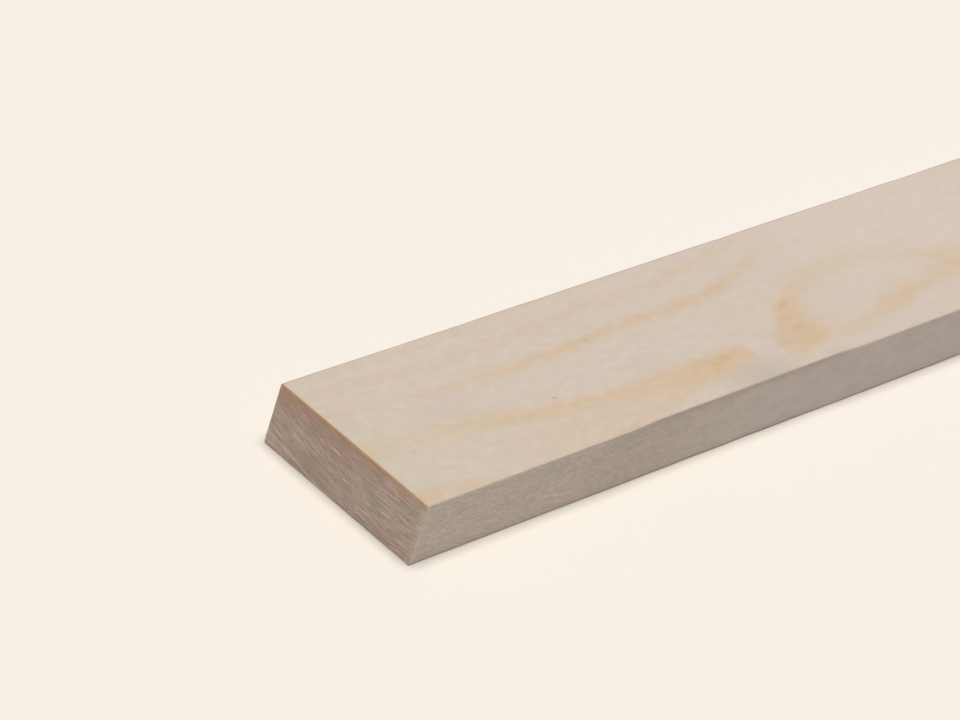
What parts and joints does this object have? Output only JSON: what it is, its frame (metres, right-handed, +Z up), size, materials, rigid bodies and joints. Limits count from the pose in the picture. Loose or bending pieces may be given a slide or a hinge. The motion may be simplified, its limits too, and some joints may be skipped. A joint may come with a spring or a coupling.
{
  "type": "timber plank",
  "caption": "Planed softwood plank: one straight length of solid timber, rectangular in section, with eased long edges and square sawn ends.",
  "frame": {"origin": "middle of the underside, the face that the plank lies on", "axes": "+X along the length, towards the end that the picture cuts off; +Y across the width, away from the edge that the picture shows; +Z up, out of the top face"},
  "size_m": [1.8, 0.094, 0.032],
  "materials": {
    "timber": "planed, unfinished softwood with rough sawn ends"
  },
  "bodies": {
    "root": {"plank": "timber"}
  },
  "joints": []
}
